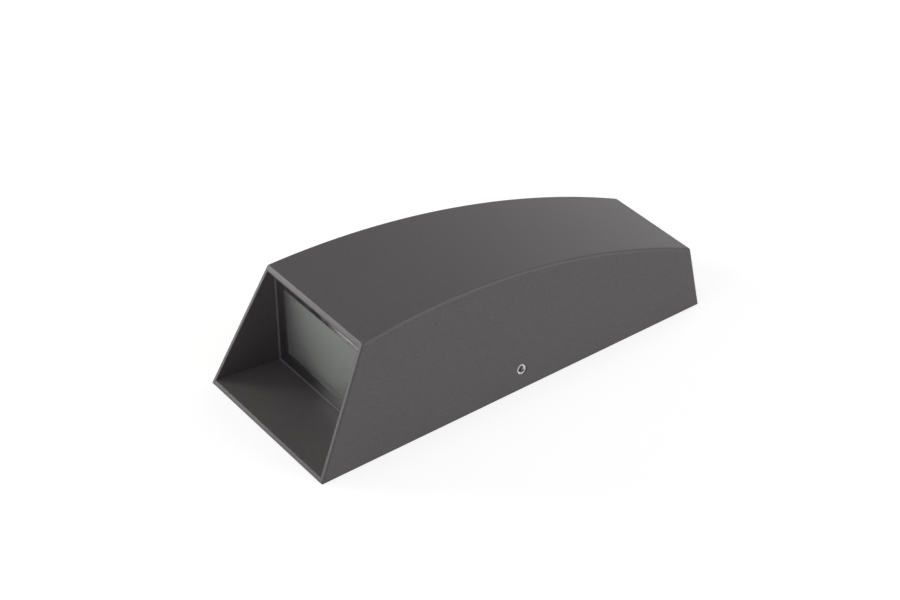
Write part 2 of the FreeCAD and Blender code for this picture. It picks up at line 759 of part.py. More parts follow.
def build_driver():
    """Case on its long flange, lid and the two screws through the flange's ears."""
    case = make("PartDesign::Body", "driver_box")
    base = "driver_bottom + driver_lid"
    plan = body_sketch(case, "XY_Plane", "plan", base)
    outline(plan, rectangle("driver_start", "driver_end", "-driver_width / 2", "driver_width / 2"))
    pad(case, plan, f"driver_top - ({base})")
    round_edges(case, "driver_corner", lambda edge: edge.BoundBox.ZLength > value("driver_height / 2"))
    hollow = body_sketch(case, "XY_Plane", "hollow", base)
    outline(hollow, rectangle("driver_start + driver_wall", "driver_end - driver_wall",
                              "driver_wall - driver_width / 2", "driver_width / 2 - driver_wall"))
    pocket(case, hollow, f"driver_top - ear_thickness - ({base})", reverse=True)
    flange = make("PartDesign::Body", "driver_flange")
    foot = body_sketch(flange, "XY_Plane", "foot", "driver_top - ear_thickness")
    slot(foot, "(driver_start + driver_end) / 2", "0", "driver_length + 2 * ear_length", "ear_width / 2")
    for x in ("ear_near_x", "ear_far_x"):
        circle(foot, x, "0", "small_shank + hole_fit")
    pad(flange, foot, "ear_thickness")
    exits = [
        drilling(f"lead_exit_{number}", "lead_radius + side_fit", "driver_length + 2 * driver_wall",
                 place("driver_start - driver_wall", f"{side} * lead_pitch / 2", "driver_middle",
                       "rotationy(90)"))
        for number, side in enumerate((-1, 1), start=1)
    ]
    keep(cut("driver_case", join("driver_moulding", [case, flange]), group("lead_exits", exits)))
    lid = keep(make("PartDesign::Body", "driver_lid"))
    plan = body_sketch(lid, "XY_Plane", "plan", "driver_bottom")
    outline(plan, rectangle("driver_start", "driver_end", "-driver_width / 2", "driver_width / 2"))
    pad(lid, plan, "driver_lid")
    round_edges(lid, "driver_corner", lambda edge: edge.BoundBox.ZLength > value("driver_lid / 2"))
    lip = body_sketch(lid, "XY_Plane", "lip", base)
    outline(lip, rectangle("driver_start + driver_wall + side_fit", "driver_end - driver_wall - side_fit",
                           "driver_wall + side_fit - driver_width / 2",
                           "driver_width / 2 - driver_wall - side_fit"))
    pad(lid, lip, "driver_lip")
    pattern = screw("driver_screw", "small_shank", "driver_screw_length", "small_head", "small_head_height")
    keep(copies("driver_screws", pattern,
                [place(x, "0", "driver_top - ear_thickness") for x in ("ear_near_x", "ear_far_x")]))


def build_terminals():
    """Three-pole terminal block with its clamp screws and the screw that holds it to its post."""
    block = make("PartDesign::Body", "terminal_moulding")
    plan = body_sketch(block, "XY_Plane", "plan", "terminal_bottom")
    outline(plan, rectangle("terminal_x - terminal_width / 2", "terminal_x + terminal_width / 2",
                            "-terminal_length / 2", "terminal_length / 2"))
    pad(block, plan, "terminal_height")
    round_edges(block, "terminal_edge", lambda edge: edge.BoundBox.ZLength > value("terminal_height / 2"))
    holes = [drilling("terminal_mount_hole", "small_shank + hole_fit", "2 * terminal_height",
                      place("terminal_x", "terminal_pitch / 2", "terminal_bottom - terminal_edge"))]
    screws = []
    for pole in range(SIZES["poles"]):
        y = f"({pole} - (poles - 1) / 2) * terminal_pitch"
        for side in (-1, 1):
            tag = f"{pole}_{side + 1}"
            face = f"terminal_x + {side} * terminal_width / 2"
            holes.append(drilling(f"entry_{tag}", "entry_radius", "2 * entry_depth",
                                  place(f"{face} - entry_depth", y, "terminal_middle", "rotationy(90)")))
            x = f"(terminal_x + {side} * clamp_inset)"
            holes.append(drilling(f"clamp_well_{tag}", "clamp_head + hole_fit", "2 * clamp_well",
                                  place(x, y, "terminal_bottom - clamp_well")))
            holes.append(drilling(f"clamp_pilot_{tag}", "clamp_shank + thread_fit",
                                  "terminal_height / 2 - clamp_well",
                                  place(x, y, "terminal_bottom + clamp_well")))
            screws.append(place(x, y, "terminal_bottom + clamp_well"))
    keep(cut("terminal_block", block, join("terminal_holes", holes)))
    pattern = screw("clamp_screw", "clamp_shank", "clamp_screw_length", "clamp_head", "clamp_head_height")
    keep(copies("terminal_clamp_screws", pattern, screws))
    pattern = screw("terminal_screw", "small_shank", "terminal_screw_length", "small_head",
                    "small_head_height")
    keep(copies("terminal_mount_screw", pattern,
                [place("terminal_x", "terminal_pitch / 2", "terminal_bottom")]))


def lead(label, route):
    """An insulated lead: straight runs joined by tangent arcs as large as the runs allow."""
    points = [FreeCAD.Vector(*(value(text) for text in point)) for point in route]
    radius = value("lead_radius")
    edges, start = [], points[0]
    for before, corner, after in zip(points, points[1:], points[2:]):
        back, ahead = (before - corner).normalize(), (after - corner).normalize()
        half_turn = (math.pi - back.getAngle(ahead)) / 2
        reach = BEND_SHARE * min(before.distanceToPoint(corner), after.distanceToPoint(corner))
        bend = reach / math.tan(half_turn)
        middle = (back + ahead).normalize() * (bend / math.cos(half_turn) - bend)
        edges.append(Part.LineSegment(start, corner + back * reach).toShape())
        edges.append(Part.Arc(corner + back * reach, corner + middle, corner + ahead * reach).toShape())
        start = corner + ahead * reach
    edges.append(Part.LineSegment(start, points[-1]).toShape())
    path = Part.Wire(edges)
    section = Part.Wire(Part.Circle(points[0], points[1] - points[0], radius).toShape())
    item = keep(make("Part::Feature", label))
    item.Shape = path.makePipeShell([section], True, False)
    item.Placement = FreeCAD.Placement()
    return item


def washer(label, placement):
    ring = drilling(f"{label}_disc", "washer_radius", "washer_thickness", placement)
    hole = drilling(f"{label}_hole", "earth_shank + hole_fit", "2 * washer_thickness",
                    f"{placement} * {place(z='-washer_thickness / 2')}")
    return cut(label, ring, hole)


def build_wiring():
    """Leads from the driver to the light board and to the terminals, and the housing's earth."""
    for label, side in (("light_lead_positive", 1), ("light_lead_negative", -1)):
        x, y, z = lead_exit(side, "driver_start")
        aside = f"{side} * lead_pair / 2"
        lead(label, [
            (f"{x} + lead_entry", y, z), (f"{x} - lead_start", y, z),
            (f"({x} + plate_back_x) / 2", f"{side} * (lead_pitch + lead_pair) / 4", f"{z} - lead_sag"),
            ("plate_back_x + lead_start", aside, "light_height"), ("plate_x", aside, "light_height"),
        ])
    for label, side, into in (("supply_lead_live", 1, "terminal_pitch"), ("supply_lead_neutral", -1, "0")):
        x, y, z = lead_exit(side, "driver_end")
        lead(label, [
            (f"{x} - lead_entry", y, z), (f"{x} + lead_start", y, z),
            ("terminal_face_x - lead_start", into, "terminal_middle"),
            ("terminal_face_x + entry_depth - lead_radius", into, "terminal_middle"),
        ])
    tag_z = "(earth_top - tag_thickness)"
    barrel_x = "(earth_x + tag_radius + tag_tongue)"
    barrel_z = f"({tag_z} - lead_radius)"
    barrel_radius = "lead_radius + side_fit + tag_barrel_wall"
    flat = make("PartDesign::Body", "tag_flat")
    plan = body_sketch(flat, "XY_Plane", "plan", tag_z)
    circle(plan, "earth_x", "earth_y", "tag_radius")
    circle(plan, "earth_x", "earth_y", "earth_shank + hole_fit")
    pad(flat, plan, "tag_thickness")
    tongue = make("Part::Box", "tag_strip", place("earth_x + tag_radius - tag_thickness",
                                                  "earth_y - lead_radius", tag_z),
                  Length="tag_tongue + tag_barrel / 2", Width="2 * lead_radius", Height="tag_thickness")
    barrel = drilling("tag_tube", barrel_radius, "tag_barrel",
                      place(barrel_x, "earth_y", barrel_z, "rotationy(90)"))
    bore = drilling("tag_bore", "lead_radius + side_fit", "2 * tag_barrel",
                    place(f"{barrel_x} - tag_barrel / 2", "earth_y", barrel_z, "rotationy(90)"))
    keep(cut("earth_tag", join("tag_solid", [flat, tongue, barrel]), bore))
    pole_y = "-terminal_pitch"
    lead("earth_lead", [
        (f"{barrel_x} + tag_barrel / 4", "earth_y", barrel_z),
        (f"{barrel_x} + tag_barrel + lead_start / 2", "earth_y", barrel_z),
        ("terminal_face_x - lead_start", pole_y, "terminal_middle"),
        ("terminal_face_x + entry_depth - lead_radius", pole_y, "terminal_middle"),
    ])
    keep(washer("earth_washer", place("earth_x", "earth_y", f"{tag_z} - washer_thickness")))
    pattern = screw("earth_screw_pattern", "earth_shank", "earth_screw_length", "earth_head",
                    "earth_head_height")
    keep(copies("earth_screw", pattern, [place("earth_x", "earth_y", f"{tag_z} - washer_thickness")]))


def build_bracket():
    """Steel bracket with two folded tabs, its mat, its cable grommet and its earth screw."""
    start, end = "(grub_x - wing_length / 2)", "(grub_x + wing_length / 2)"
    wings = wall_block("bracket_wings", "tab_inset", "mat_thickness", start, end, top="tab_top")
    round_edges(wings, "fold_radius + steel", lambda edge: (
        edge.BoundBox.ZMax < value("steel_top") and edge.BoundBox.XLength > value("wing_length / 2")))
    round_edges(wings, "tab_corner", lambda edge: (
        edge.BoundBox.ZMin > value("tab_top - steel") and edge.BoundBox.YLength > value("strip_width")))
    core = wall_block("bracket_core", "tab_inset + steel", "steel_top", f"{start} - steel", f"{end} + steel",
                      top="tab_top + steel")
    round_edges(core, "fold_radius", lambda edge: (
        edge.BoundBox.ZMax < value("steel_top + fold_radius")
        and edge.BoundBox.XLength > value("wing_length / 2")))
    strip = make("PartDesign::Body", "bracket_strip")
    plan = body_sketch(strip, "XY_Plane", "plan", "mat_thickness")
    outline(plan, rectangle("strip_start", "strip_end", "-strip_width / 2", "strip_width / 2"))
    pad(strip, plan, "steel")
    round_edges(strip, "strip_corner", lambda edge: edge.BoundBox.ZLength > value("steel / 2"))
    holes = make("PartDesign::Body", "bracket_slots")
    plan = body_sketch(holes, "XY_Plane", "plan")
    for x in ("slot_first_x", "slot_last_x"):
        slot(plan, x, "0", "slot_length", "slot_radius")
    circle(plan, "cable_x", "0", "grommet_radius")
    circle(plan, "bracket_earth_x", "0", "earth_shank + thread_fit")
    pad(holes, plan, "steel_top + steel")
    tab_holes = [
        drilling(f"tab_hole_{number}", "tab_hole_radius", "tab_gap + 2 * steel",
                 grub_place(side, "grub_boss_depth"))
        for number, side in enumerate((-1, 1), start=1)
    ]
    folded = cut("bracket_fold", wings, core)
    keep(cut("wall_bracket", join("bracket_sheet", [folded, strip]),
             group("bracket_holes", [holes] + tab_holes)))

    mat = wall_block("mat_sheet", "wall + mat_gap", "0", "seat_back_x + mat_gap", "far_inner_x - mat_gap",
                     top="mat_thickness")
    openings = make("PartDesign::Body", "mat_openings")
    plan = body_sketch(openings, "XY_Plane", "plan")
    for x in ("slot_first_x", "slot_last_x"):
        slot(plan, x, "0", "slot_length + 2 * mat_hole_gap", "slot_radius + mat_hole_gap")
    circle(plan, "cable_x", "0", "grommet_radius + grommet_flange + mat_hole_gap")
    circle(plan, "bracket_earth_x", "0", "earth_shank + mat_hole_gap")
    pad(openings, plan, "mat_thickness + steel")
    keep(cut("wall_mat", mat, openings))

    grommet = keep(make("PartDesign::Body", "cable_grommet", place("cable_x")))
    profile = body_sketch(grommet, "XZ_Plane", "profile")
    flange, neck = "grommet_radius + grommet_flange", "grommet_radius - thread_fit"
    rim = "steel_top + grommet_lip"
    outline(profile, [
        ("cable_radius", "mat_thickness - grommet_lip"), (flange, "mat_thickness - grommet_lip"),
        (flange, "mat_thickness"), (neck, "mat_thickness"), (neck, "steel_top"), (flange, "steel_top"),
        (flange, rim), ("cable_radius + 2 * grommet_nose_wall", rim),
        ("cable_radius + grommet_nose_wall", f"{rim} + grommet_nose"),
        ("cable_radius", f"{rim} + grommet_nose"),
    ])
    turned = grommet.newObject("PartDesign::Revolution", "grommet_turned")
    turned.Profile = profile
    turned.ReferenceAxis = (profile, ["V_Axis"])
    turned.Angle = 360
    grommet.Tip = turned

    seat = place("bracket_earth_x", "0", "steel_top")
    keep(washer("bracket_earth_washer", seat))
    pattern = screw("bracket_screw", "earth_shank", "bracket_screw_length", "earth_head",
                    "earth_head_height")
    keep(copies("bracket_earth_screw", pattern,
                [place("bracket_earth_x", "0", "steel_top + washer_thickness", "rotationx(180)")]))


def build_grub_screws():
    """Cup-point grub screws with a hexagon socket, on axes square to the leaning sides."""
    for label, side in (("grub_screw_right", -1), ("grub_screw_left", 1)):
        body = keep(make("PartDesign::Body", label, grub_place(side, "grub_recess")))
        profile = body_sketch(body, "XZ_Plane", "profile")
        outline(profile, [
            ("0", "0"), ("grub_radius - grub_chamfer", "0"), ("grub_radius", "grub_chamfer"),
            ("grub_radius", "grub_length - grub_chamfer"), ("grub_radius - grub_chamfer", "grub_length"),
            ("grub_cup_radius", "grub_length"), ("0", "grub_length - grub_cup_depth"),
        ])
        turned = body.newObject("PartDesign::Revolution", f"{label}_turned")
        turned.Profile = profile
        turned.ReferenceAxis = (profile, ["V_Axis"])
        turned.Angle = 360
        body.Tip = turned
        socket = body_sketch(body, "XY_Plane", "socket")
        corner = "grub_socket_flats / 2 / cos(30)"
        outline(socket, [(f"{corner} * cos({60 * n})", f"{corner} * sin({60 * n})") for n in range(6)])
        pocket(body, socket, "grub_socket_depth", reverse=True)


build_housing()
build_window()
build_light_source()
build_driver()
build_terminals()
build_wiring()
build_bracket()
build_grub_screws()
doc.recompute()

failed = [item.Label for item in doc.Objects if {"Invalid", "Error"} & set(item.State)]
if failed:
    raise RuntimeError(f"not built: {', '.join(failed)}")
for node in nodes:
    if node.Shape.isNull() or not node.Shape.isValid():
        raise RuntimeError(f"bad shape: {node.Label}")
os.makedirs("parts", exist_ok=True)
for node in nodes:
    node.Shape.exportStep(f"parts/{node.Label}.step")
    print(node.Label, len(node.Shape.Solids), round(node.Shape.Volume, 1))
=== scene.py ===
"""Dresses the outdoor wall light: finishes for every piece, small fittings that the solids leave out,
and the pale studio it is photographed in. Lengths are metres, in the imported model's frame."""
import json
import math

import bmesh
import bpy
from bpy.props import FloatProperty, FloatVectorProperty, PointerProperty
from mathutils import Matrix, Vector


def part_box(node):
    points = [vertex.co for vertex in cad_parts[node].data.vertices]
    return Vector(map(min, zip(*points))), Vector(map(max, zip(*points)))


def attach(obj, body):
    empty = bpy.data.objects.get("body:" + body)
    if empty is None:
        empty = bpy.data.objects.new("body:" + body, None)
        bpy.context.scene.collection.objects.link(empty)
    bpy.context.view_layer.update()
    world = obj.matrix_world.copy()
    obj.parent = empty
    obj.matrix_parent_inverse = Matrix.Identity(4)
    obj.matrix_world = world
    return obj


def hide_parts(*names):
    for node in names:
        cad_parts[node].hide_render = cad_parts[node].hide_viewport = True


bl_info = {
    "name": "Outdoor wall light",
    "version": (1, 0, 0),
    "blender": (4, 5, 0),
    "location": "View3D > Sidebar > Wall light",
    "description": "Finishes, small fittings and studio for an outdoor wall light",
    "category": "Object",
}

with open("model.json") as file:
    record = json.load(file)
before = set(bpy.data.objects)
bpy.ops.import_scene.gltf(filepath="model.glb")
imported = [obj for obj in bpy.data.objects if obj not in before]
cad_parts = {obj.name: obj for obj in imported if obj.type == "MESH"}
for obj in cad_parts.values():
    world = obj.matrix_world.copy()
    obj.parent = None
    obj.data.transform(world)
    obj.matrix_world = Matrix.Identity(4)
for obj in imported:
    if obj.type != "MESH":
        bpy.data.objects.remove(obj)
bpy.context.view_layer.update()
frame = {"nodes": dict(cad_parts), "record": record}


# Grub screws: size M6, with a hexagon socket and a cup point

GRUB_RADIUS, GRUB_LENGTH, GRUB_CHAMFER = 0.003, 0.006, 0.0002
SOCKET_FLATS, SOCKET_DEPTH, SOCKET_MOUTH = 0.003, 0.003, 0.0021
SOCKET_LEDGE = 0.97                  # the hexagon's size at its end, beside the rest of it
DRILL_POINT = SOCKET_FLATS / 5       # radius and depth of the drilled hole's end
CUP_RADIUS = 0.0015
CUP_MIDDLE = CUP_RADIUS / 10         # radius of the cup's flat middle
FLANK = 1.15                         # above 1 it leaves a flat root between the thread's turns
GRUB_STEPS, THREAD_STEPS = 48, 8

# Emitters: square frames with rounded corners, each with a round well

EMITTER_ROWS, EMITTER_COLUMNS = 2, 6
EMITTER_SIZE, EMITTER_WELL = 0.003, 0.0012
EMITTER_STEPS, SQUARENESS = 32, 8
RIM_EDGE, RIM_SHARE = 0.00006, 0.96
WELL_EDGE, WELL_SHARE = 0.00004, 1.04
WELL_FLOOR, FLOOR_SHARE = 0.0002, 0.86

# Places of the leads, the driver and the terminals

LEAD_PITCH, LEAD_PAIR, TERMINAL_PITCH = 0.008, 0.0044, 0.010
EAR_LENGTH, DRIVER_HEIGHT = 0.009, 0.020

# Profiles of turned fittings: radius, and distance along the axis; a lens's radius is a share of its well

LENS = ((0.85, -0.00021), (0.97, -0.00055), (0.75, -0.00063), (0.4, -0.00067), (0.1, -0.00068))
SOLDER = ((0.0004, 0.00001), (0.0019, 0.00001), (0.0018, 0.0002), (0.0014, 0.0006), (0.0012, 0.0012),
          (0.0004, 0.0012))
LEAD_SEAL = ((0.00114, 0.00002), (0.0024, 0.00002), (0.0024, 0.0006), (0.0021, 0.0009), (0.0016, 0.0010),
             (0.0014, 0.0026), (0.00114, 0.0026))
SLEEVE = ((0.00135, 0.0006), (0.00175, 0.0006), (0.00175, 0.0042), (0.00135, 0.0042))
TURNED_STEPS, SOLDER_STEPS = 32, 24

# Finishes: depth of each relief, width of the worn edges, and how many clouds or cells a metre holds

COAT_RELIEF, METAL_RELIEF, ANODISED_RELIEF = 0.00004, 0.000006, 0.000001
MOULDED_RELIEF, SMOOTH_RELIEF, SHINY_RELIEF = 0.00002, 0.00001, 0.000005
GLASS_RELIEF, FOAM_RELIEF = 0.00001, 0.00012
METAL_EDGE, MOULDED_EDGE, MOULDED_ROUNDING = 0.0002, 0.0003, 0.0002
COAT_CLOUDS, METAL_SMUDGES, MOULDED_FLOW = 16.0, 90.0, 45.0
GLASS_CLOUDS, FOAM_CLOUDS, FOAM_CELLS = 30.0, 60.0, 1400.0
NOISE_LOW, NOISE_HIGH = 0.3, 0.7     # where nearly all of a noise's values lie
EDGE_SAMPLES, HOLLOW_SAMPLES = 4, 8

# Powder coat: edges that face aside get painted shade, which turns to a painted highlight as they face up;
# peel is coarser than grain

EDGE_ASIDE, EDGE_UP = 0.36, 0.50
EDGE_PAINTED_SHADE, EDGE_PAINTED_HIGHLIGHT, EDGE_GLOSS = -0.45, 0.30, 0.14
COAT_GLOSSY, COAT_DULL = 0.40, 0.52
PEEL_SCALE, GRAIN_SHARE, PEEL_SHARE = 0.22, 0.65, 0.35

# Screw sockets: how far apart their walls are, and the painted shade that darkens them from open to closed

HOLLOW_WIDTH = 0.004
HOLLOW_CLOSED, HOLLOW_OPEN, HOLLOW_PAINTED_SHADE = 0.60, 0.96, 0.72

# Insulation of the leads

LEAD_TINTS = {
    "light_lead_positive": (0.42, 0.02, 0.015),
    "light_lead_negative": (0.02, 0.02, 0.021),
    "supply_lead_live": (0.13, 0.05, 0.022),
    "supply_lead_neutral": (0.03, 0.09, 0.34),
}
EARTH_GREEN, EARTH_YELLOW = (0.09, 0.30, 0.03), (0.72, 0.60, 0.03)
EARTH_STRIPES = 200.0

# Studio: each lamp's size, place and tint, the room round it, and the camera's view

LAMPS = {
    "back": (0.9, (0.85, 0.35, 0.95), (0.98, 1.0, 0.88)),
    "side": (0.8, (0.70, -1.02, 0.60), (0.93, 0.91, 1.0)),
    "mouth": (0.55, (-0.70, 1.10, 0.40), (0.99, 1.0, 0.97)),
    "front": (0.65, (-1.20, -0.30, 0.60), (0.97, 0.86, 1.0)),
    "top": (1.0, (0.0, 0.0, 1.4), (0.975, 1.0, 0.885)),
}
LAMP_TARGET = (0.0, 0.0, 0.03)
FLOOR_GAP = 0.0002
FLOOR_NEAR, FLOOR_FAR, FLOOR_GLOW = 0.5, 1.6, 0.69   # the floor's glow is full only far off
FLOOR_SEEN = 0.55
ROOM_LOW, ROOM_HIGH, ROOM_TOP = 0.12, 0.5, 0.2       # the room as gloss shows it, from low down to its top
DARK_SIDE, DARK_START, DARK_FULL = (-0.65, -0.69, 0.31), 0.70, 0.92
WHITE = (1.0, 1.0, 1.0, 1.0)
CAMERA_RIGHT = (0.84569475, -0.52878982, -0.07198409)
CAMERA_UP = (0.33152942, 0.41486847, 0.84733252)
CAMERA_BACK = (-0.41819688, -0.74044951, 0.52616147)
CAMERA_TARGET = (-0.00010, 0.01466, 0.02493)
FOCAL_PIXELS, PICTURE_WIDTH, SENSOR_WIDTH = 2895.76, 900, 36.0


# Settings


def colour(label, about, value):
    """A setting that holds a colour."""
    return FloatVectorProperty(name=label, description=about, default=value, size=3, min=0.0, max=1.0,
                               subtype="COLOR")


def length(label, about, value):
    """A setting that holds a length."""
    return FloatProperty(name=label, description=about, default=value, min=0.0, unit="LENGTH", precision=5)


def power(label, about, value):
    """A setting that holds a lamp's power."""
    return FloatProperty(name=label, description=about, default=value, min=0.0, unit="POWER")


class WALLLIGHT_PG_finish(bpy.types.PropertyGroup):
    """Colours and textures of the light's pieces"""
    coat: colour("Powder coat", "Colour of the housing's coat", (0.087, 0.083, 0.081))
    frame_metal: colour("Frame metal", "Colour of the anodised window frame", (0.340, 0.334, 0.340))
    grain: length("Grain", "Spacing of the coat's fine texture", 0.0008)
    edge: length("Edge", "Width of the changed coat along edges", 0.0009)
    glass: colour("Glass", "Tint of the frosted glass", (0.548, 0.576, 0.545))
    frost: length("Frost", "Spacing of the etched glass's pits", 0.0003)
    steel: colour("Steel", "Colour of the screws", (0.68, 0.66, 0.62))
    zinc: colour("Zinc", "Colour of the bracket's plating", (0.42, 0.43, 0.44))
    aluminium: colour("Aluminium", "Colour of the heat plate", (0.72, 0.72, 0.72))
    brass: colour("Brass", "Colour of the terminals' sleeves", (0.62, 0.45, 0.18))
    thread_pitch: length("Thread pitch", "Rise of the grub screws' thread in one turn", 0.001)
    thread_depth: length("Thread depth", "Depth of the grub screws' thread", 0.0005)
    tin: colour("Tin", "Colour of the tinned tag and solder", (0.68, 0.67, 0.64))
    white: colour("White moulding", "Colour of the reflector", (0.80, 0.80, 0.78))
    board: colour("Board", "Colour of the light board's mask", (0.74, 0.76, 0.72))
    phosphor: colour("Phosphor", "Colour of the emitters", (0.80, 0.58, 0.12))
    driver: colour("Driver case", "Colour of the driver's moulding", (0.62, 0.62, 0.60))
    terminal: colour("Terminal block", "Colour of the terminal block", (0.70, 0.67, 0.58))
    gasket: colour("Gasket", "Colour of the silicone gasket", (0.22, 0.22, 0.215))
    seal: colour("Seal", "Colour of the silicone bead round the frame", (0.145, 0.142, 0.147))
    foam: colour("Foam", "Colour of the mat", (0.035, 0.035, 0.037))
    rubber: colour("Rubber", "Colour of the grommet and the lead seals", (0.022, 0.022, 0.023))


class WALLLIGHT_PG_stage(bpy.types.PropertyGroup):
    """Sizes and levels of the studio"""
    floor: colour("Floor", "Colour of the floor", (0.86, 0.86, 0.86))
    floor_size: length("Floor size", "Side of the square floor", 8.0)
    ambient: FloatProperty(name="Ambient", description="Level of the light from all round", default=0.16,
                           min=0.0, max=1.0, subtype="FACTOR")
    shade: colour("Shade", "Colour of the light from all round", (0.95, 0.89, 1.0))
    back: power("Back lamp", "Power of the lamp behind the closed end", 2.7)
    side: power("Side lamp", "Power of the lamp beside the right face", 7.8)
    mouth: power("Mouth lamp", "Power of the lamp in front on the left", 9.3)
    front: power("Front lamp", "Power of the lamp in front of the mouth", 3.5)
    top: power("Top lamp", "Power of the lamp overhead", 3.6)
    distance: length("Camera distance", "From the camera to the light", 1.5563)


# Shader nodes


def add(tree, kind, values=None, **settings):
    """A shader node; values gives its sockets a number, a colour or another node's output."""
    node = tree.nodes.new(f"ShaderNode{kind}")
    for name, setting in settings.items():
        setattr(node, name, setting)
    for key, value in (values or {}).items():
        if isinstance(value, bpy.types.NodeSocket):
            tree.links.new(value, node.inputs[key])
        else:
            node.inputs[key].default_value = value
    return node


def sum_of(tree, first, second):
    """Two values added."""
    return add(tree, "Math", {0: first, 1: second}, operation="ADD").outputs[0]


def less(tree, first, second):
    """The first value without the second."""
    return add(tree, "Math", {0: first, 1: second}, operation="SUBTRACT").outputs[0]


def times(tree, first, second):
    """Two values multiplied."""
    return add(tree, "Math", {0: first, 1: second}, operation="MULTIPLY").outputs[0]


def larger(tree, first, second):
    """The larger of two values."""
    return add(tree, "Math", {0: first, 1: second}, operation="MAXIMUM").outputs[0]


def between(tree, value, low, high, to_low=0.0, to_high=1.0):
    """The value's place between low and high, as a number from to_low to to_high."""
    return add(tree, "MapRange", {0: value, 1: low, 2: high, 3: to_low, 4: to_high}).outputs[0]


def spread(tree, grain, low, high):
    """A noise's usual range as a number from low to high."""
    return between(tree, grain, NOISE_LOW, NOISE_HIGH, low, high)


def swing(tree, grain, amount):
    """How far a noise is from its middle, times an amount."""
    return times(tree, less(tree, grain, 0.5), amount)


def mix(tree, factor, first, second):
    """A colour from the first at 0 to the second at 1."""
    return add(tree, "Mix", {0: factor, 6: first, 7: second}, data_type="RGBA").outputs[2]


def lighten(tree, tint, value):
    """A colour made lighter above 1 and darker below."""
    return add(tree, "HueSaturation", {"Color": tint, "Value": value}).outputs[0]


def place_on(tree):
    """Where a point lies on its piece."""
    return add(tree, "TexCoord").outputs["Object"]


def noise(tree, vector, scale, detail=2.0, roughness=0.5):
    """Cloudy noise; scale is how many clouds there are in a metre."""
    return add(tree, "TexNoise", {"Vector": vector, "Scale": scale, "Detail": detail,
                                  "Roughness": roughness}).outputs[0]


def dot(tree, first, second):
    """How far two directions agree, from -1 to 1."""
    return add(tree, "VectorMath", {0: first, 1: second}, operation="DOT_PRODUCT").outputs["Value"]


def rounded_normal(tree, width):
    """The surface's direction with its edges rounded off over a width."""
    return add(tree, "Bevel", {"Radius": width}, samples=EDGE_SAMPLES).outputs[0]


def new_group(name, inputs, outputs=("Color", "Roughness", "Height")):
    """An empty node group: its tree, what comes in and what goes out."""
    tree = bpy.data.node_groups.new(name, "ShaderNodeTree")
    for label, value in inputs.items():
        kind = "NodeSocketColor" if isinstance(value, tuple) else "NodeSocketFloat"
        tree.interface.new_socket(label, in_out="INPUT", socket_type=kind).default_value = value
    for label in outputs:
        kind = "NodeSocketColor" if label == "Color" else "NodeSocketFloat"
        tree.interface.new_socket(label, in_out="OUTPUT", socket_type=kind)
    return tree, tree.nodes.new("NodeGroupInput").outputs, tree.nodes.new("NodeGroupOutput").inputs


def powder_group():
    """Fine-textured powder coat: grain, orange peel and slow changes of tone; its edges carry a painted
    highlight where they face up and painted shade elsewhere."""
    tree, given, out = new_group("powder_grain", {
        "Color": (0.1, 0.1, 0.1, 1.0), "Grain": 2000.0, "Speckle": 0.3, "Mottle": 0.1, "Edge": 0.0,
        "Upward": 0.0})
    place = place_on(tree)
    fine = noise(tree, place, given["Grain"], 3.0, 0.65)
    peel = noise(tree, place, times(tree, given["Grain"], PEEL_SCALE), 1.0)
    broad = noise(tree, place, COAT_CLOUDS, 3.0)
    speckle = swing(tree, fine, given["Speckle"])
    mottle = swing(tree, broad, given["Mottle"])
    tone = sum_of(tree, sum_of(tree, speckle, mottle), 1.0)
    # painted highlight on edges that face up and painted shade on edges that face aside, added to the coat's
    # tone
    painted_edge_shading = between(tree, given["Upward"], EDGE_ASIDE, EDGE_UP, EDGE_PAINTED_SHADE, EDGE_PAINTED_HIGHLIGHT)
    tone = sum_of(tree, tone, times(tree, given["Edge"], painted_edge_shading))
    tree.links.new(lighten(tree, given["Color"], tone), out["Color"])
    dull = sum_of(tree, spread(tree, fine, COAT_GLOSSY, COAT_DULL), times(tree, mottle, 0.4))
    tree.links.new(less(tree, dull, times(tree, given["Edge"], EDGE_GLOSS)), out["Roughness"])
    height = sum_of(tree, times(tree, fine, GRAIN_SHARE), times(tree, peel, PEEL_SHARE))
    tree.links.new(height, out["Height"])
    return tree


def edge_group():
    """Where a surface turns sharply, from 0 on flats to 1 on an edge, and how far the edge faces up."""
    tree, given, out = new_group("edge_mask", {"Width": 0.0005}, ("Edge", "Upward"))
    rounded = rounded_normal(tree, given["Width"])
    straight = add(tree, "NewGeometry").outputs["Normal"]
    tree.links.new(between(tree, dot(tree, rounded, straight), 0.995, 0.86), out["Edge"])
    tree.links.new(add(tree, "SeparateXYZ", {0: rounded}).outputs["Z"], out["Upward"])
    return tree


def metal_group():
    """Rolled or turned metal: drawn lines, smudges, uneven gloss and brighter edges."""
    tree, given, out = new_group("drawn_metal", {
        "Color": (0.6, 0.6, 0.6, 1.0), "Lines": 3000.0, "Stretch": 0.04, "Dull": 0.3, "Edge": 0.0})
    place = place_on(tree)
    scale = add(tree, "CombineXYZ", {0: given["Stretch"], 1: 1.0, 2: 1.0}).outputs[0]
    drawn = add(tree, "VectorMath", {0: place, 1: scale}, operation="MULTIPLY").outputs[0]
    lines = noise(tree, drawn, given["Lines"], 3.0, 0.6)
    smudge = noise(tree, place, METAL_SMUDGES, 3.0)
    tone = sum_of(tree, spread(tree, lines, 0.90, 1.06), times(tree, given["Edge"], 0.12))
    tree.links.new(lighten(tree, given["Color"], tone), out["Color"])
    dull = sum_of(tree, given["Dull"], spread(tree, smudge, -0.05, 0.09))
    tree.links.new(sum_of(tree, dull, spread(tree, lines, -0.03, 0.05)), out["Roughness"])
    tree.links.new(lines, out["Height"])
    return tree


